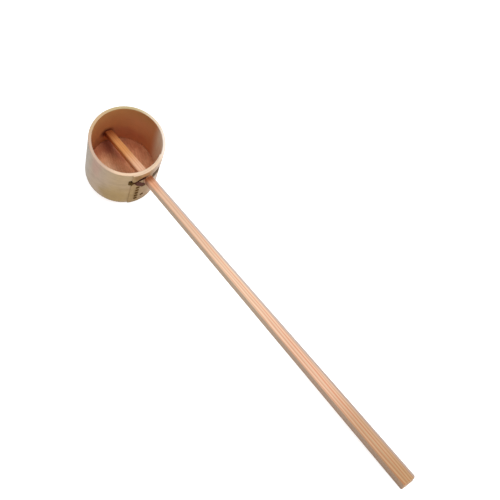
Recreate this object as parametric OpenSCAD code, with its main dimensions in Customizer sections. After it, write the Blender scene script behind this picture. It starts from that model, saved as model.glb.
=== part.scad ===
// Hishaku water dipper: a bent cedar hoop with a laced lap, a bottom disc and a slanted cedar handle.
// Millimetres, +Z up. The dipper lies as it does on a table, on the front edge of its cup and the
// outer end of its handle, with the handle along +X and the middle of its box above the origin.

/* [Cup] */
// Outside diameter of the cup, away from the lap
cup_d = 78; // [66:1:96]
// Height of the hoop
cup_h = 74; // [66:1:100]
// Thickness of the bent board
board_t = 3.2; // [2.6:0.1:4.5]
// Thickness of the bottom disc
bottom_t = 6; // [3:0.5:6.5]
// Gap all round the bottom disc
bottom_gap = 0.08; // [0.05:0.01:0.2]
// Bevel on the edges of the rim
rim_bevel = 0.5; // [0.2:0.1:1]
// Bevel on the lower edges of the hoop and the disc
foot_bevel = 0.4; // [0.2:0.1:1]

/* [Lap] */
// Direction of the lap's outer edge, in degrees from the handle
lap_edge_az = -21.5; // [-30:0.5:-20]
// Direction of the lap's inner edge, in degrees from the handle
lap_inner_az = 38; // [36:1:60]
// Step that the outer end of the board makes
outer_step = 0.9; // [0.5:0.1:1.4]
// Step that the inner end of the board makes
inner_step = 0.8; // [0.5:0.1:1.2]
// Hairline gap between the two layers
lap_gap = 0.14; // [0.08:0.02:0.3]

/* [Handle] */
// Length of the handle outside the cup
handle_reach = 390; // [250:1:600]
// Depth of the handle's top face below the rim, where it leaves the cup
handle_drop = 14.5; // [10:0.5:18]
// Height of the handle's top face above the cup's base, where it meets the far wall
handle_tip_z = 29; // [20:0.5:45]
// Distance of the handle from the cup's middle line
handle_off = 2.7; // [-2:0.1:3]
// Width of the handle where it leaves the cup
handle_w = 8.6; // [6:0.1:9.5]
// Width of the handle's outer end
handle_end_w = 13.1; // [8:0.1:18]
// Thickness of the handle where it leaves the cup
handle_t = 8.9; // [7:0.1:10]
// Thickness of the handle's outer end
handle_end_t = 10.6; // [8:0.1:14]
// Chamfer along the handle's long edges
handle_chamfer = 0.8; // [0.3:0.1:1.5]
// Bevel round the handle's outer end
end_bevel = 1; // [0.4:0.1:2]
// Gap between the handle and the sides of its mortise
mortise_gap = 0.12; // [0.08:0.02:0.3]
// Gap between the handle's tip and the far wall
tip_gap = 0.08; // [0.05:0.01:0.3]

/* [Peg] */
// Diameter of the bamboo peg in the handle's tip
peg_d = 2.4; // [1.8:0.1:3]
// Depth of the peg in the handle
peg_depth = 14; // [8:1:25]
// Gap round the peg
peg_gap = 0.05; // [0.03:0.01:0.1]
// How far the peg stands out of the wall
peg_out = 0.4; // [0.2:0.1:1]

/* [Lacing] */
// Thickness of the cherry bark
bark_t = 0.5; // [0.3:0.1:0.8]
// Gap between the bark and the wood
bark_gap = 0.06; // [0.04:0.02:0.12]
// Width of the lacing strip
lace_w = 3.6; // [2:0.1:4]
// Number of stitches in the column
stitches = 5; // [2:1:6]
// Height of a stitch
stitch_h = 2.6; // [2:0.1:3.2]
// Height of the lowest stitch above the cup's base
first_stitch_z = 11; // [9.5:0.5:12]
// Depth of the highest stitch below the handle's top face
last_stitch_drop = 18.5; // [18.5:0.5:24]
// Direction of the stitches, in degrees from the handle
stitch_az = -10.4; // [-13:0.2:-9]
// Lean of each stitch, in degrees
stitch_lean = 8; // [0:1:12]
// Turn from the column to the single stitch beside it, in degrees
side_stitch_turn = 10; // [8:0.5:12]
// Rise from the lowest stitch to the single stitch beside it
side_stitch_rise = 5; // [3:0.5:8]
// Length of the strip's ends that lie folded inside the wall
fold = 4.5; // [3:0.5:6]

/* [Ties] */
// Width of the bark strip beside the handle
tie_w = 10; // [7:0.5:10.5]
// Width of the strip where it is pinched
tie_neck = 3.2; // [2:0.1:4]
// Turn from the lap's edge to the pinch, in degrees
tie_neck_turn = 4; // [4:0.5:6]
// Depth of the pinch below the handle's top face
tie_neck_drop = 4; // [3:0.5:5.5]
// Gap between the handle's underside and the strip's lower end, inside the wall
tie_under_gap = 1.5; // [1:0.1:3]
// How far the strip's lower end reaches under the handle
tie_under = 2.8; // [1.5:0.1:4]
// Width of the strip's upper arm
tie_arm_w = 3.4; // [2:0.1:4]
// Gap between the handle's top face and the upper arm's end
tie_over_gap = 1; // [0.8:0.1:3]
// Gap between the mortise and the tie on the handle's other side, inside the wall
side_tie_gap = 0.6; // [0.5:0.1:3]
// Width of that tie
side_tie_w = 11; // [4:0.5:12]
// Length of that tie round the cup
side_tie_len = 10; // [9.5:0.5:14]

/* [Hidden] */
fine = 180;
far = 2 * cup_d;
hoop_r = cup_d / 2;
inner_r = hoop_r - board_t;
mm_per_deg = PI * hoop_r / 180;
// The outside is two half circles that leave a step at the lap's outer edge, and the inside is two
// that leave one at its inner edge, so the board winds like a spiral.
outer_shift = outer_step / 2;
inner_shift = inner_step / 2;
front_r = hoop_r + outer_shift * (1 + cos(lap_edge_az));
// The joint between the layers is an arc whose centre lies off the cup's axis.
lap_mid_az = (lap_edge_az + lap_inner_az) / 2;
lap_half = (lap_inner_az - lap_edge_az) / 2;
joint_out_r = hoop_r + lap_gap / 2;
joint_in_r = inner_r + inner_step - lap_gap / 2;
joint_r = (joint_out_r + joint_in_r) / 2;
joint_shift = (joint_out_r - joint_in_r) / (2 * sin(lap_half));
// The handle's own frame starts where its top face leaves the cup, with X along the handle.
exit_z = cup_h - handle_drop;
slope = atan2(exit_z - handle_tip_z, front_r + inner_r);
w_rate = (handle_end_w - handle_w) / handle_reach;
t_rate = (handle_end_t - handle_t) / handle_reach;
tip_s = -(front_r + inner_r) / cos(slope) - handle_t;
tip_mid_t = (handle_t + t_rate * tip_s) / 2;
tip_mid_s = -(front_r + inner_r + tip_mid_t * sin(slope)) / cos(slope);
end_shrink = 0.6 * end_bevel;
mortise_w = handle_w + 2 * mortise_gap;
mortise_t = handle_t + 2 * mortise_gap;
mortise_left_az = asin((handle_off - mortise_w / 2) / front_r);
mortise_right_az = asin((handle_off + mortise_w / 2) / front_r);
// The cup leans until its foot and the underside of the handle's end are level.
foot_x = front_r - foot_bevel;
heel_s = handle_reach - end_bevel;
heel_t = handle_t + t_rate * heel_s;
heel_x = front_r + heel_s * cos(slope) + heel_t * sin(slope);
heel_z = exit_z + heel_s * sin(slope) - heel_t * cos(slope);
rest_tilt = atan2(heel_z, heel_x - foot_x);
end_x = front_r + handle_reach * cos(slope) - foot_x;
end_z = exit_z + handle_reach * sin(slope);
right_x = end_x * cos(rest_tilt) + end_z * sin(rest_tilt);
left_x = foot_bevel * sin(rest_tilt) - (hoop_r + foot_x) * cos(rest_tilt);
rest_mid_x = (left_x + right_x) / 2;
// The lacing goes through the wall at both ends of each stitch.
stitch_pitch = (exit_z - last_stitch_drop - first_stitch_z) / (stitches - 1);
leg_up = (stitch_h - bark_t) / 2;
side_stitch_az = stitch_az + side_stitch_turn;
side_stitch_z = first_stitch_z + side_stitch_rise;
// The ties are drawn on the wall in millimetres, from the middle of the pinch.
neck_az = lap_edge_az + tie_neck_turn;
neck_z = exit_z - tie_neck_drop;
mortise_left_x = front_r * sin(mortise_left_az - neck_az);
fold_r = inner_r - bark_gap - bark_t;
tie_left_x = -6;
tie_left_z = -0.6;
tie_left_w = 0.75 * tie_w;
tie_right_x = mortise_left_x + tie_under;
tie_right_w = 0.6 * tie_w;
underside_z = exit_z - handle_t / cos(slope) - (front_r - fold_r) * tan(slope);
tie_right_z = underside_z - tie_under_gap - tie_right_w / 2 - neck_z;
tie_arm_x = mortise_left_x + 0.8;
tie_arm_z = exit_z + tie_over_gap + tie_arm_w / 2 - neck_z;
side_tie_az = asin((handle_off + mortise_w / 2 + side_tie_gap) / fold_r) + asin(side_tie_len / 2 / fold_r);
side_tie_z = exit_z - 6.5;

module at_rest() {
    translate([-rest_mid_x, 0, 0])
        rotate([0, rest_tilt, 0])
            translate([-foot_x, 0, 0])
                children();
}

// Everything within the half turn that starts at az, anticlockwise
module half_turn(az) {
    rotate([0, 0, az]) translate([-far, 0, -far]) cube([2 * far, far, 2 * far]);
}

// A round body whose radius steps out by twice the shift at az: its wide child, then its narrow one
module stepped(shift, az) {
    intersection() {
        translate([shift * cos(az), shift * sin(az), 0]) children(0);
        half_turn(az);
    }
    intersection() {
        children(1);
        half_turn(az + 180);
    }
}

module bevelled_disc(r, h, low, high) {
    rotate_extrude($fn = fine)
        polygon([[0, 0], [r - low, 0], [r, low], [r, h - high], [r - high, h], [0, h]]);
}

// The round core of the hollow, whose top flares by the bevel of the rim
module flared_core(r) {
    rotate_extrude($fn = fine)
        polygon([[0, -1], [r, -1], [r, cup_h - rim_bevel], [r + 2 * rim_bevel, cup_h + rim_bevel],
                 [0, cup_h + rim_bevel]]);
}

// The outside of the hoop without its bevels, grown by a margin
module outside(grow) {
    stepped(outer_shift, lap_edge_az - grow / mm_per_deg) {
        cylinder(r = hoop_r + outer_shift + grow, h = cup_h, $fn = fine);
        cylinder(r = hoop_r + grow, h = cup_h, $fn = fine);
    }
}

// The inside of the hoop without its flare, shrunk by a margin
module inside(shrink) {
    stepped(inner_shift, lap_inner_az + shrink / mm_per_deg) {
        cylinder(r = inner_r + inner_shift - shrink, h = cup_h, $fn = fine);
        cylinder(r = inner_r - shrink, h = cup_h, $fn = fine);
    }
}

// The hairline between the two layers of the lap
module lap_joint() {
    intersection() {
        translate([joint_shift * sin(lap_mid_az), -joint_shift * cos(lap_mid_az), -1])
            difference() {
                cylinder(r = joint_r + lap_gap / 2, h = cup_h + 2, $fn = fine);
                translate([0, 0, -1])
                    cylinder(r = joint_r - lap_gap / 2, h = cup_h + 4, $fn = fine);
            }
        half_turn(lap_mid_az - 90);
    }
}

module handle_frame() {
    translate([front_r, handle_off, exit_z]) rotate([0, -slope, 0]) children();
}

// The handle's outline with chamfered corners, at s along it
function handle_ring(s, shrink = 0) =
    let(w = handle_w / 2 + w_rate * s / 2 - shrink, t = handle_t + t_rate * s - shrink, c = handle_chamfer)
        [for (p = [[c - w, -shrink], [-w, -c - shrink], [-w, c - t], [c - w, -t],
                   [w - c, -t], [w, c - t], [w, -c - shrink], [w - c, -shrink]]) [s, p[0], p[1]]];

module handle_stick() {
    points = concat(handle_ring(tip_s), handle_ring(heel_s), handle_ring(handle_reach, end_shrink));
    sides = [for (k = [0, 8], i = [0 : 7]) [k + i, k + 8 + i, k + 8 + (i + 1) % 8, k + (i + 1) % 8]];
    polyhedron(points, concat([[for (i = [0 : 7]) i]], sides, [[for (i = [23 : -1 : 16]) i]]));
}

module peg_rod(gap) {
    handle_frame()
        translate([tip_mid_s - 10, 0, -tip_mid_t])
            rotate([0, 90, 0])
                cylinder(d = peg_d + 2 * gap, h = peg_depth + 10, $fn = 48);
}

// A block through the wall at az, with a flat shape seen from outside: X round the cup, Y up
module wall_block(az, z) {
    rotate([0, 0, az])
        translate([inner_r - 4, 0, z])
            rotate([90, 0, 90])
                linear_extrude(board_t + 8)
                    children();
}

// Bark that passes through the wall, or its slit when the shape is grown
module through_wall() {
    intersection() {
        difference() {
            outside(bark_gap + bark_t);
            inside(bark_gap + bark_t);
        }
        children();
    }
}

module outer_bark() {
    intersection() {
        difference() {
            outside(bark_gap + bark_t);
            outside(bark_gap);
        }
        children();
    }
}

module inner_bark() {
    intersection() {
        difference() {
            inside(bark_gap);
            inside(bark_gap + bark_t);
        }
        children();
    }
}

function stitch_z(k) = first_stitch_z + k * stitch_pitch;

// A corner of a stitch's upper or lower leg (side 1 or -1), at its right or left end (end 1 or -1)
function leg_corner(side, end) =
    [end * lace_w / 2 * cos(stitch_lean) - side * leg_up * sin(stitch_lean),
     end * lace_w / 2 * sin(stitch_lean) + side * leg_up * cos(stitch_lean)];

// A strip inside the wall from one leg to another, each given by its side and its shift
module inside_run(side_a, shift_a, side_b, shift_b) {
    half = [0, bark_t / 2];
    polygon([leg_corner(side_a, -1) + shift_a - half, leg_corner(side_a, 1) + shift_a - half,
             leg_corner(side_b, 1) + shift_b + half, leg_corner(side_b, -1) + shift_b + half]);
}

module stitch_legs(grow = 0) {
    for (side = [-1, 1])
        rotate(stitch_lean)
            translate([0, side * leg_up])
                square([lace_w + 2 * grow, bark_t + 2 * grow], center = true);
}

module stitch_face() {
    rotate(stitch_lean) square([lace_w, stitch_h], center = true);
}

module lacing_legs(grow = 0) {
    for (k = [0 : stitches - 1])
        wall_block(stitch_az, stitch_z(k)) stitch_legs(grow);
    wall_block(side_stitch_az, side_stitch_z) stitch_legs(grow);
}

// A strip of bark on the wall, through stations that give its place round, its height and its width
module strip(stations) {
    last = len(stations) - 1;
    polygon(concat([for (p = stations) [p[0], p[1] - p[2] / 2]],
                   [for (i = [last : -1 : 0]) [stations[i][0], stations[i][1] + stations[i][2] / 2]]));
}

// Bark seen from outside: broad over the lap's edge, pinched, then spread under and over the handle
module left_tie_face() {
    strip([[tie_left_x, tie_left_z, tie_left_w], [-4.6, -0.8, tie_w], [-2.8, -0.8, tie_w],
           [-1.2, -0.2, tie_neck], [0.6, -0.3, tie_neck], [2.4, -2.4, 0.9 * tie_w],
           [tie_right_x / 2, tie_right_z / 2, tie_w],
           [tie_right_x - 3.5, tie_right_z + 1.3, 0.9 * tie_w],
           [tie_right_x, tie_right_z, tie_right_w]]);
    strip([[0.2, 0, 0.8 * tie_neck], [2.7, 1.8, tie_arm_w], [5, 4.6, tie_arm_w],
           [tie_arm_x - 2.6, tie_arm_z - 0.4, tie_arm_w], [tie_arm_x, tie_arm_z, tie_arm_w]]);
}

// The ends of the left tie, this deep from each end towards the pinch
module left_tie_ends(depth, grow = 0) {
    translate([tie_left_x - grow, tie_left_z - tie_left_w / 2 - grow])
        square([depth + 2 * grow, tie_left_w + 2 * grow]);
    translate([tie_right_x - depth - grow, tie_right_z - tie_right_w / 2 - grow])
        square([depth + 2 * grow, tie_right_w + 2 * grow]);
    translate([tie_arm_x - depth - grow, tie_arm_z - tie_arm_w / 2 - grow])
        square([depth + 2 * grow, tie_arm_w + 2 * grow]);
}

module right_tie_ends(depth, grow = 0) {
    for (side = [-1, 1])
        translate([side * (side_tie_len - depth) / 2, 0])
            square([depth + 2 * grow, side_tie_w + 2 * grow], center = true);
}

// One cedar board, bent round and lapped, with the mortise, the slits and the peg hole
module side_hoop() {
    color([0.80, 0.69, 0.55])
        at_rest()
            difference() {
                stepped(outer_shift, lap_edge_az) {
                    bevelled_disc(hoop_r + outer_shift, cup_h, foot_bevel, rim_bevel);
                    bevelled_disc(hoop_r, cup_h, foot_bevel, rim_bevel);
                }
                stepped(inner_shift, lap_inner_az) {
                    flared_core(inner_r + inner_shift);
                    flared_core(inner_r);
                }
                lap_joint();
                handle_frame()
                    translate([-14, -mortise_w / 2, -handle_t - mortise_gap])
                        cube([24, mortise_w, mortise_t]);
                through_wall() lacing_legs(bark_gap);
                through_wall() wall_block(neck_az, neck_z) left_tie_ends(bark_t, bark_gap);
                through_wall() wall_block(side_tie_az, side_tie_z) right_tie_ends(bark_t, bark_gap);
                peg_rod(peg_gap);
            }
}

// Round board that closes the cup, flush with the hoop's lower edge
module bottom_disc() {
    r = inner_r - bottom_gap;
    color([0.78, 0.56, 0.40])
        at_rest()
            stepped(inner_shift, lap_inner_az + bottom_gap / mm_per_deg) {
                bevelled_disc(r + inner_shift, bottom_t, foot_bevel, foot_bevel);
                bevelled_disc(r, bottom_t, foot_bevel, foot_bevel);
            }
}

// Square cedar stick, thicker outwards, whose tip meets the far wall
module handle() {
    color([0.90, 0.72, 0.57])
        at_rest()
            difference() {
                handle_frame() handle_stick();
                difference() {
                    translate([-far, -far / 2, -far / 2]) cube([far, far, far]);
                    translate([0, 0, -far / 2]) cylinder(r = inner_r - tip_gap, h = far, $fn = fine);
                }
                peg_rod(peg_gap);
            }
}

// Bamboo peg that pins the tip from outside the far wall
module tip_peg() {
    color([0.83, 0.74, 0.52])
        at_rest()
            intersection() {
                peg_rod(0);
                translate([0, 0, -far / 2]) cylinder(r = hoop_r + peg_out, h = far, $fn = fine);
            }
}

// Cherry bark, laced up the lap as one strip that shows at every other pass
module seam_lacing() {
    side_shift = [inner_r * sin(side_stitch_turn / 2), side_stitch_rise / 2];
    color([0.27, 0.16, 0.11])
        at_rest() {
            through_wall() lacing_legs();
            outer_bark() {
                for (k = [0 : stitches - 1])
                    wall_block(stitch_az, stitch_z(k)) stitch_face();
                wall_block(side_stitch_az, side_stitch_z) stitch_face();
            }
            inner_bark() {
                for (k = [0 : stitches - 2])
                    wall_block(stitch_az, stitch_z(k)) inside_run(1, [0, 0], -1, [0, stitch_pitch]);
                wall_block(stitch_az, stitch_z(stitches - 1)) inside_run(1, [0, 0], 1, [0, fold]);
                wall_block(side_stitch_az, side_stitch_z) inside_run(1, [0, 0], 1, [0, fold]);
                wall_block(stitch_az + side_stitch_turn / 2, first_stitch_z + side_stitch_rise / 2)
                    inside_run(-1, -side_shift, -1, side_shift);
            }
        }
}

// Cherry bark tie on the near side of the handle, with its ends folded inside the wall
module left_tie() {
    color([0.24, 0.14, 0.10])
        at_rest() {
            through_wall() wall_block(neck_az, neck_z) left_tie_ends(bark_t);
            outer_bark() wall_block(neck_az, neck_z) left_tie_face();
            inner_bark() wall_block(neck_az, neck_z) left_tie_ends(fold);
        }
}

// Cherry bark tie on the far side of the handle, with its ends folded inside the wall
module right_tie() {
    color([0.24, 0.14, 0.10])
        at_rest() {
            through_wall() wall_block(side_tie_az, side_tie_z) right_tie_ends(bark_t);
            outer_bark() wall_block(side_tie_az, side_tie_z)
                square([side_tie_len, side_tie_w], center = true);
            inner_bark() wall_block(side_tie_az, side_tie_z) right_tie_ends(fold);
        }
}

side_hoop();
bottom_disc();
handle();
tip_peg();
seam_lacing();
left_tie();
right_tie();
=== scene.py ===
"""Looks of a hishaku water dipper: cedar hoop, bottom and handle, bamboo peg and cherry bark.

All seven shapes come from the CAD frame. This script gives them procedural materials, and adds the floor,
the light and the camera. Inside the materials, lengths are in millimetres and angles in degrees.
"""

import math

import bpy
from mathutils import Matrix, Vector

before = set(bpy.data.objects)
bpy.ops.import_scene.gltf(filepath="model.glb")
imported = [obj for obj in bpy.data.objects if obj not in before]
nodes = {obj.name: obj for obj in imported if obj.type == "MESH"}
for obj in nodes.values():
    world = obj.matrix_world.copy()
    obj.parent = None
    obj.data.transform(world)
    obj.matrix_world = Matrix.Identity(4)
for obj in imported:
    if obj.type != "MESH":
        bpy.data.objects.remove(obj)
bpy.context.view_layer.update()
scene = bpy.context.scene

# How the cup lies in the row, as in the CAD: it leans over the front edge of its foot
CUP_TILT = math.radians(28.1152)
ROW_MIDDLE_X = 0.173559
FOOT_EDGE_X = 0.039469
# Where the handle's top face leaves the cup, and how steeply it rises in the cup's own frame
EXIT_PLACE = (0.039869, 0.0027, 0.0595)
HANDLE_SLOPE = math.radians(21.9530)
# The cup's frame has Z along its axis, 0 at the foot, and X towards the handle
CUP_TO_ROW = (
    Matrix.Translation((-ROW_MIDDLE_X, 0, 0))
    @ Matrix.Rotation(CUP_TILT, 4, "Y")
    @ Matrix.Translation((-FOOT_EDGE_X, 0, 0))
)
# The handle's frame has X along the handle, 0 at the cup's wall, and Z upwards, 0 at the top face
HANDLE_TO_ROW = CUP_TO_ROW @ Matrix.Translation(EXIT_PLACE) @ Matrix.Rotation(-HANDLE_SLOPE, 4, "Y")

MM_PER_METRE = 1000
# Half the handle's width where it leaves the cup, and how much it grows with each millimetre
HANDLE_HALF_WIDTH = 4.3
HANDLE_WIDENING = 0.00577
# Radius, within the wall, over which the inside's look passes into the outside's
INSIDE_TO_OUTSIDE = (37.0, 37.6)
# Height over which the wall's look passes into the rim's
WALL_TO_RIM = (73.2, 73.5)
# How far a bump at full strength stands out, in metres
BUMP_HEIGHT = 0.0001

# The inputs of a colour Mix node for its factor and its two colours, and its colour output
MIX_INPUTS = (0, 6, 7)
MIX_OUTPUT = 2

# Floor: half its side in metres, its grey, and how strongly it glows as seen
FLOOR_HALF = 4
FLOOR_GREY = 0.80
FLOOR_GLOW = 0.7
# World: its strength as light on the object, and as seen, where 1 is white
WORLD_LIGHT = 0.52
WORLD_SEEN = 1.0
# Key light: places and size in metres, power in watts
KEY_PLACE = (0.60, 0.15, 1.05)
KEY_AIM = (-0.1, 0, 0.05)
KEY_SIZE = 0.7
KEY_WATTS = 8.6
# Camera: place and clipping in metres, turn in radians, lens and sensor in millimetres
CAMERA_PLACE = (0.383643, -0.227672, 0.581373)
CAMERA_TURN = (0.71451, 0.041508, 0.938206)
CAMERA_LENS = 54.0
CAMERA_SENSOR = 36.0
CLIP_START = 0.05
CLIP_END = 20


def srgb(*channels):
    """The linear colour that shows as this red, green and blue, each from 0 to 255."""
    linear = []
    for channel in channels:
        if channel <= 10:
            linear.append(channel / 255 / 12.92)
        else:
            linear.append(((channel / 255 + 0.055) / 1.055) ** 2.4)
    return tuple(linear)


class Look:
    """One material and its nodes."""

    def __init__(self, name):
        self.material = bpy.data.materials.new(name)
        self.material.use_nodes = True
        self.tree = self.material.node_tree
        self.tree.nodes.clear()
        output = self.add("ShaderNodeOutputMaterial")
        self.shader = self.add("ShaderNodeBsdfPrincipled")
        self.link(self.shader.outputs[0], output.inputs["Surface"])

    def add(self, kind, **settings):
        node = self.tree.nodes.new(kind)
        for setting, value in settings.items():
            setattr(node, setting, value)
        return node

    def link(self, source, target):
        self.tree.links.new(source, target)

    def put(self, socket, value):
        """Link another socket to this one, or set it to a number or a colour."""
        if isinstance(value, bpy.types.NodeSocket):
            self.link(value, socket)
        elif isinstance(value, (int, float)):
            socket.default_value = value
        else:
            socket.default_value = (*value, 1)

    def math(self, operation, *values):
        node = self.add("ShaderNodeMath", operation=operation)
        for socket, value in zip(node.inputs, values):
            self.put(socket, value)
        return node.outputs[0]

    def chain(self, operation, first, *others):
        result = first
        for other in others:
            result = self.math(operation, result, other)
        return result

    def total(self, *values):
        return self.chain("ADD", *values)

    def product(self, *values):
        return self.chain("MULTIPLY", *values)

    def length(self, a, b):
        return self.math("SQRT", self.total(self.product(a, a), self.product(b, b)))

    def ramp(self, value, zero_at, one_at):
        """A soft rise from 0 to 1. Where zero_at is the larger number, it is a fall."""
        node = self.add("ShaderNodeMapRange", interpolation_type="SMOOTHSTEP")
        self.put(node.inputs["Value"], value)
        node.inputs["From Min"].default_value = zero_at
        node.inputs["From Max"].default_value = one_at
        return node.outputs[0]

    def stripes(self, value, spacing, zero_at, one_at):
        """Soft stripes, where the value, sent to and fro between 0 and spacing, is high."""
        return self.ramp(self.math("PINGPONG", value, spacing), zero_at, one_at)

    def noise(self, point, stretch, detail, roughness=0.5):
        """Noise at a point whose coordinates are first multiplied by those of stretch."""
        place = self.add("ShaderNodeCombineXYZ")
        for socket, coordinate, factor in zip(place.inputs, point, stretch):
            self.put(socket, self.product(coordinate, factor))
        node = self.add("ShaderNodeTexNoise")
        self.link(place.outputs[0], node.inputs["Vector"])
        node.inputs["Scale"].default_value = 1.0
        node.inputs["Detail"].default_value = detail
        node.inputs["Roughness"].default_value = roughness
        return node.outputs[0]

    def mix(self, factor, first, second, blend="MIX"):
        node = self.add("ShaderNodeMix", data_type="RGBA", blend_type=blend)
        for index, value in zip(MIX_INPUTS, (factor, first, second)):
            self.put(node.inputs[index], value)
        return node.outputs[MIX_OUTPUT]

    def tinted(self, colour, tint):
        return self.mix(1.0, colour, tint, blend="MULTIPLY")

    def shade(self, factor, colour, tint):
        """The colour, which passes into its tinted self as the factor rises from 0 to 1."""
        return self.mix(factor, colour, self.tinted(colour, tint))

    def zones(self, value, colour, steps):
        """The first colour, which passes into the next one from low to high of each step in turn."""
        for low, high, new in steps:
            colour = self.mix(self.ramp(value, low, high), colour, new)
        return colour

    def stains(self, colour, a, b, cloud, spots):
        """Soft uneven spots, each with its colour, strength, centre and half sizes on the axes a and b."""
        uneven = self.product(self.math("SUBTRACT", cloud, 0.5), 0.8)
        for new, strength, middle_a, middle_b, half_a, half_b in spots:
            away_a = self.math("DIVIDE", self.math("SUBTRACT", a, middle_a), half_a)
            away_b = self.math("DIVIDE", self.math("SUBTRACT", b, middle_b), half_b)
            away = self.total(self.length(away_a, away_b), uneven)
            colour = self.mix(self.product(self.ramp(away, 1.0, 0.25), strength), colour, new)
        return colour

    def local(self, to_row):
        """The coordinates in millimetres in the frame that the matrix places in the row."""
        place = self.add("ShaderNodeTexCoord").outputs["Object"]
        coordinates = []
        for row in to_row.inverted()[:3]:
            node = self.add("ShaderNodeVectorMath", operation="DOT_PRODUCT")
            self.link(place, node.inputs[0])
            node.inputs[1].default_value = [MM_PER_METRE * number for number in row[:3]]
            coordinates.append(self.total(node.outputs["Value"], MM_PER_METRE * row[3]))
        return coordinates

    def azimuth(self, x, y):
        """The angle round the cup from -180 to 180 degrees, 0 towards the handle."""
        return self.product(self.math("ARCTAN2", y, x), 180 / math.pi)

    def bump(self, height, strength):
        node = self.add("ShaderNodeBump")
        node.inputs["Strength"].default_value = strength
        node.inputs["Distance"].default_value = BUMP_HEIGHT
        self.put(node.inputs["Height"], height)
        self.link(node.outputs[0], self.shader.inputs["Normal"])

    def finish(self, colour, roughness, specular=0.3):
        self.put(self.shader.inputs["Base Color"], colour)
        self.shader.inputs["Roughness"].default_value = roughness
        self.shader.inputs["Specular IOR Level"].default_value = specular
        return self.material


def cedar_handle():
    look = Look("cedar_handle")
    point = look.local(HANDLE_TO_ROW)
    along, aside, up = point
    # The stick browns inside the cup and towards its outer end, and is red where it leaves the wall
    tone = look.zones(along, srgb(150, 80, 38), (
        (-82, -56, srgb(232, 170, 106)),
        (-50, -12, srgb(250, 206, 172)),
        (-2, 1, srgb(158, 98, 60)),
        (2, 11, srgb(238, 182, 146)),
        (13, 28, srgb(238, 200, 170)),
        (60, 150, srgb(248, 214, 184)),
        (170, 260, srgb(236, 196, 166)),
        (280, 340, srgb(202, 164, 128)),
        (340, 390, srgb(188, 150, 108)),
    ))

    # The rings slant through the stick, so that the top and the sides both show lines along the length
    sway = look.noise(point, stretch=(0.012, 0.15, 0.15), detail=2.0)
    rings = look.total(aside, look.product(up, 0.6), look.product(along, 0.006), look.product(sway, 2.2))
    drift = look.noise((along, rings), stretch=(0.004, 0.4), detail=1.0)
    rings = look.math("MULTIPLY_ADD", drift, 1.3, rings)
    lines = look.stripes(rings, spacing=1.2, zero_at=0.45, one_at=1.08)
    bands = look.stripes(look.total(rings, 0.5), spacing=2.3, zero_at=1.4, one_at=2.1)
    pores = look.noise(point, stretch=(0.03, 2.6, 2.6), detail=4.0, roughness=0.6)
    # The lines grow clearer with the length, and the wide bands only show outside the cup
    clearer = look.math("MULTIPLY_ADD", look.ramp(along, 40, 160), 0.35, 0.55)
    colour = look.shade(look.product(lines, clearer), tone, tint=(0.82, 0.50, 0.40))
    banded = look.product(bands, 0.45, look.ramp(along, -20, 60))
    colour = look.mix(banded, colour, look.tinted(tone, (0.74, 0.78, 0.74)))
    porous = look.product(look.ramp(pores, 0.42, 0.75), 0.4)
    colour = look.mix(porous, colour, look.tinted(tone, (0.76, 0.68, 0.62)))

    # Painted shade: the sides are greyer and darker than the top, and darker still low down
    half_width = look.math("MULTIPLY_ADD", along, HANDLE_WIDENING, HANDLE_HALF_WIDTH)
    depth = look.math("SUBTRACT", half_width, look.math("ABSOLUTE", aside))
    side = look.product(look.ramp(depth, 1.0, 0.1), look.ramp(along, 0, 22), 0.85)
    shaded_side_grey = look.zones(along, srgb(196, 170, 142), (
        (150, 300, srgb(176, 148, 124)),
        (300, 390, srgb(168, 136, 110)),
    ))
    shaded_side_grey = look.shade(look.product(look.ramp(up, -3, -9), 0.5), shaded_side_grey, tint=(0.66, 0.60, 0.56))
    shaded_side_grey = look.shade(look.product(look.ramp(pores, 0.4, 0.7), 0.5), shaded_side_grey, tint=(0.80, 0.76, 0.72))
    colour = look.mix(side, colour, shaded_side_grey)

    # The side away from the lacing and the edge above it turn pale grey, less so towards the outer end
    to_edge = look.math("SUBTRACT", half_width, aside)
    pale_grey_edge = look.product(look.ramp(to_edge, 2.9, 1.3), look.ramp(along, 2, 20), 0.9)
    pale = look.mix(look.ramp(along, 160, 320), srgb(200, 186, 180), srgb(178, 158, 146))
    colour = look.mix(pale_grey_edge, colour, pale)
    look.bump(look.total(lines, pores), strength=0.25)
    return look.finish(colour, roughness=0.55)


def hoop_outside(look, point, azimuth, cloud, lines):
    """Grey at the back, warmer beside the lap, olive low down, and greyed at the foot with painted shade.
    """
    z = point[2]
    colour = look.zones(azimuth, srgb(206, 194, 180), (
        (-112, -84, srgb(208, 184, 160)),
        (-74, -40, srgb(204, 176, 136)),
        (-21.6, -21.2, srgb(184, 152, 104)),  # from the lap's outer edge on
        (-12, 0, srgb(190, 158, 120)),
        (8, 24, srgb(226, 202, 184)),
        (70, 120, srgb(206, 194, 180)),
    ))
    colour = look.stains(colour, azimuth, z, cloud, (
        (srgb(214, 168, 152), 0.55, -82, 60, 14, 34),  # pink sapwood
        (srgb(184, 152, 94), 0.8, -46, 14, 42, 34),  # olive near the foot
        (srgb(158, 112, 50), 0.8, -13, 67, 9, 8),  # gold under the rim, over the tie
        (srgb(140, 108, 58), 0.6, -11, 24, 6, 24),  # brown round the lacing
        (srgb(206, 152, 100), 0.8, -1, 69, 11, 7),  # gold over the mortise
        (srgb(108, 58, 24), 0.9, -3, 61, 10, 5),  # painted shadow along the mortise's top edge
    ))
    # Painted shade: greyer and darker towards the foot
    colour = look.mix(look.product(look.ramp(z, 5, 0), 0.5), colour, srgb(150, 138, 116))
    colour = look.shade(look.product(lines, 0.2), colour, tint=(0.72, 0.66, 0.58))
    mottle = look.noise(point, stretch=(0.08, 0.08, 0.12), detail=4.0, roughness=0.6)
    dull = look.tinted(colour, (0.90, 0.87, 0.84))
    clear = look.tinted(colour, (1.03, 1.02, 1.0))
    return look.mix(look.ramp(mottle, 0.32, 0.62), dull, clear)


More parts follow.
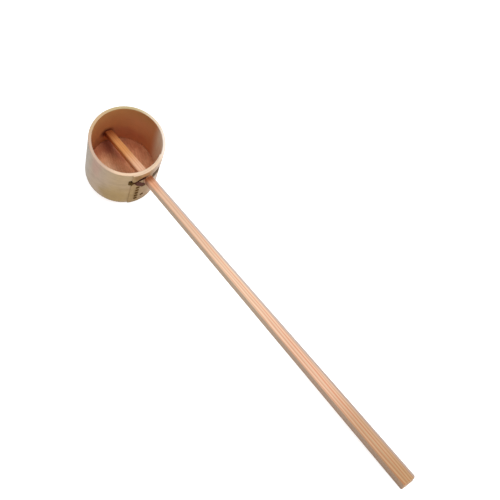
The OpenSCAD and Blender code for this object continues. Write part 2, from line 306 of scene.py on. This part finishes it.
def hoop_inside(look, turn, z, cloud, lines):
    """Brown, painted pale round the front and right wall as light, tan under the rim and wine red low on
    the far wall.
    """
    # Painted light: near white round the front and right wall, brown beyond
    colour = look.zones(turn, srgb(254, 240, 216), (
        (74, 96, srgb(224, 160, 112)),
        (120, 170, srgb(202, 138, 88)),
        (225, 262, srgb(216, 166, 122)),
        (300, 350, srgb(254, 240, 216)),
    ))
    under_rim = look.product(look.ramp(z, 48, 72), look.ramp(turn, 76, 110))
    colour = look.mix(under_rim, colour, srgb(200, 142, 88))
    colour = look.stains(colour, turn, z, cloud, (
        (srgb(192, 106, 82), 0.5, 148, 20, 58, 20),  # wine red low down
        (srgb(236, 168, 124), 0.6, 108, 0, 62, 10),  # paler in the corner beside the floor
        (srgb(104, 44, 22), 1.0, 179, 26, 18, 13),  # painted shade: a dark ring round the handle's tip
        (srgb(120, 56, 42), 0.35, 202, 12, 26, 18),  # painted shadow of the handle on the wall beside it
    ))
    return look.shade(look.product(lines, 0.3), colour, tint=(0.80, 0.70, 0.62))


def hoop_rim(look, turn):
    """Cream, and more golden at the back."""
    return look.zones(turn, srgb(232, 202, 172), (
        (20, 50, srgb(252, 238, 224)),
        (64, 96, srgb(234, 214, 188)),
        (100, 140, srgb(200, 180, 134)),
        (160, 200, srgb(208, 176, 136)),
        (215, 245, srgb(206, 176, 154)),
        (285, 320, srgb(240, 208, 176)),
        (335, 358, srgb(232, 202, 172)),
    ))


def cedar_hoop():
    look = Look("cedar_hoop")
    point = look.local(CUP_TO_ROW)
    x, y, z = point
    azimuth = look.azimuth(x, y)
    # The same angle, but from 0 to 360
    turn = look.product(look.math("FRACT", look.math("DIVIDE", azimuth, 360)), 360)
    radius = look.length(x, y)
    sway = look.noise(point, stretch=(0.03, 0.03, 0.05), detail=2.0)
    lines = look.stripes(look.math("MULTIPLY_ADD", sway, 7.0, z), spacing=1.1, zero_at=0.4, one_at=1.05)
    grain_point = (x, y, look.total(z, radius))
    pores = look.noise(grain_point, stretch=(0.06, 0.06, 1.8), detail=4.0, roughness=0.6)
    cloud = look.noise(point, stretch=(0.07, 0.07, 0.07), detail=3.0)

    inside = hoop_inside(look, turn, z, cloud, lines)
    outside = hoop_outside(look, point, azimuth, cloud, lines)
    colour = look.mix(look.ramp(radius, *INSIDE_TO_OUTSIDE), inside, outside)
    colour = look.mix(look.ramp(z, *WALL_TO_RIM), colour, hoop_rim(look, turn))
    porous = look.product(look.ramp(pores, 0.45, 0.75), 0.22)
    colour = look.shade(porous, colour, tint=(0.66, 0.60, 0.54))
    look.bump(look.total(lines, pores), strength=0.2)
    return look.finish(colour, roughness=0.6)


def cedar_bottom():
    look = Look("cedar_bottom")
    point = look.local(CUP_TO_ROW)
    x, y, z = point
    sway = look.noise(point, stretch=(0.02, 0.06, 1.0), detail=2.0)
    rings = look.total(y, look.product(x, 0.3), look.product(sway, 6.0))
    lines = look.stripes(rings, spacing=1.3, zero_at=0.6, one_at=1.25)
    pores = look.noise(point, stretch=(0.22, 0.6, 1.0), detail=4.0, roughness=0.65)
    cloud = look.noise(point, stretch=(0.08, 0.08, 1.0), detail=3.0)
    colour = look.stains(srgb(222, 162, 120), x, y, cloud, (
        (srgb(233, 191, 153), 1.0, 2, -13, 25, 15),  # painted light: pale before the handle
        (srgb(190, 112, 80), 0.7, -12, 6, 16, 6),  # painted shadow of the handle, in red
        (srgb(154, 86, 64), 0.9, -30, -1, 23, 13),  # painted shade below the handle's tip
        (srgb(168, 96, 60), 0.9, -32, -13, 18, 14),  # painted shade at the foot of the wall, to the left of it
        (srgb(250, 190, 146), 0.9, 18, 27, 20, 14),  # pale towards the right wall
        (srgb(192, 114, 74), 0.8, -16, 26, 26, 13),  # brown beyond the handle
        (srgb(150, 78, 46), 0.65, -28, 18, 12, 8),  # darker there near the tip
        (srgb(238, 172, 130), 0.65, -4, 23, 12, 9),  # paler there in the middle
    ))
    colour = look.shade(look.product(lines, 0.25), colour, tint=(0.78, 0.68, 0.60))
    colour = look.mix(look.ramp(pores, 0.38, 0.66), look.tinted(colour, (0.84, 0.78, 0.74)), colour)
    look.bump(look.total(lines, pores), strength=0.3)
    return look.finish(colour, roughness=0.6)


def cherry_bark():
    look = Look("cherry_bark")
    x, y, z = look.local(CUP_TO_ROW)
    azimuth = look.azimuth(x, y)
    streaks = look.noise((azimuth, z), stretch=(0.12, 1.0), detail=4.0, roughness=0.6)
    tone = look.zones(azimuth, srgb(110, 84, 38), (
        (-21, -18.5, srgb(80, 42, 18)),
        (-16, -13, srgb(110, 70, 60)),
        (-3, 4, srgb(124, 104, 82)),
    ))
    # The left tie's upper arm is darkest, and the lacing is browner than the tie's broad end
    arm = look.product(look.ramp(z, 57, 59.5), look.ramp(azimuth, 4, 0))
    tone = look.mix(arm, tone, srgb(58, 24, 4))
    lacing = look.product(look.ramp(z, 45, 42), look.ramp(azimuth, 6, 3))
    tone = look.mix(lacing, tone, srgb(104, 74, 34))
    colour = look.shade(look.ramp(streaks, 0.35, 0.7), tone, tint=(0.55, 0.50, 0.48))
    look.bump(streaks, strength=0.3)
    return look.finish(colour, roughness=0.8, specular=0.05)


def bamboo():
    look = Look("bamboo")
    fibres = look.noise(look.local(HANDLE_TO_ROW), stretch=(0.1, 5.0, 5.0), detail=2.0)
    return look.finish(look.mix(fibres, srgb(206, 184, 132), srgb(176, 150, 96)), roughness=0.5)


def seen(tree):
    """1 for rays from the camera, from a gloss or through glass, and 0 for rays that light the object."""
    path = tree.nodes.new("ShaderNodeLightPath").outputs
    result = path["Is Camera Ray"]
    for kind in ("Is Glossy Ray", "Is Transmission Ray"):
        either = tree.nodes.new("ShaderNodeMath")
        either.operation = "MAXIMUM"
        tree.links.new(result, either.inputs[0])
        tree.links.new(path[kind], either.inputs[1])
        result = either.outputs[0]
    return result


def add_object(name, data):
    thing = bpy.data.objects.new(name, data)
    scene.collection.objects.link(thing)
    return thing


def add_floor():
    """Plain and pale: nearly white as seen, where it keeps the shadow, and light grey to the object."""
    corners = [(FLOOR_HALF * x, FLOOR_HALF * y, 0) for x, y in ((-1, -1), (1, -1), (1, 1), (-1, 1))]
    mesh = bpy.data.meshes.new("floor")
    mesh.from_pydata(corners, [], [(0, 1, 2, 3)])
    floor = add_object("floor", mesh)
    look = Look("floor")
    look.put(look.shader.inputs["Emission Color"], (1, 1, 1))
    look.put(look.shader.inputs["Emission Strength"], look.product(seen(look.tree), FLOOR_GLOW))
    mesh.materials.append(look.finish((FLOOR_GREY, FLOOR_GREY, FLOOR_GREY), roughness=0.9, specular=0.0))


def add_world():
    """Soft light from all round, and white as seen."""
    world = bpy.data.worlds.new("studio")
    world.use_nodes = True
    tree = world.node_tree
    strength = tree.nodes.new("ShaderNodeMapRange")
    strength.inputs["To Min"].default_value = WORLD_LIGHT
    strength.inputs["To Max"].default_value = WORLD_SEEN
    tree.links.new(seen(tree), strength.inputs["Value"])
    background = tree.nodes["Background"]
    background.inputs["Color"].default_value = (1, 1, 1, 1)
    tree.links.new(strength.outputs[0], background.inputs["Strength"])
    scene.world = world


def add_key_light():
    light = bpy.data.lights.new("key", "AREA")
    light.shape = "DISK"
    light.size = KEY_SIZE
    light.energy = KEY_WATTS
    key = add_object("key", light)
    key.location = KEY_PLACE
    key.rotation_euler = (Vector(KEY_AIM) - Vector(KEY_PLACE)).to_track_quat("-Z", "Y").to_euler()


def add_camera():
    data = bpy.data.cameras.new("camera")
    data.lens = CAMERA_LENS
    data.sensor_width = CAMERA_SENSOR
    data.clip_start = CLIP_START
    data.clip_end = CLIP_END
    camera = add_object("camera", data)
    camera.location = CAMERA_PLACE
    camera.rotation_euler = CAMERA_TURN
    scene.camera = camera


bark = cherry_bark()
looks = {
    "handle": cedar_handle(),
    "side_hoop": cedar_hoop(),
    "bottom_disc": cedar_bottom(),
    "tip_peg": bamboo(),
    "seam_lacing": bark,
    "left_tie": bark,
    "right_tie": bark,
}
for name, material in looks.items():
    slots = nodes[name].data.materials
    slots.clear()
    slots.append(material)

add_floor()
add_world()
add_key_light()
add_camera()
scene.view_settings.view_transform = "Standard"
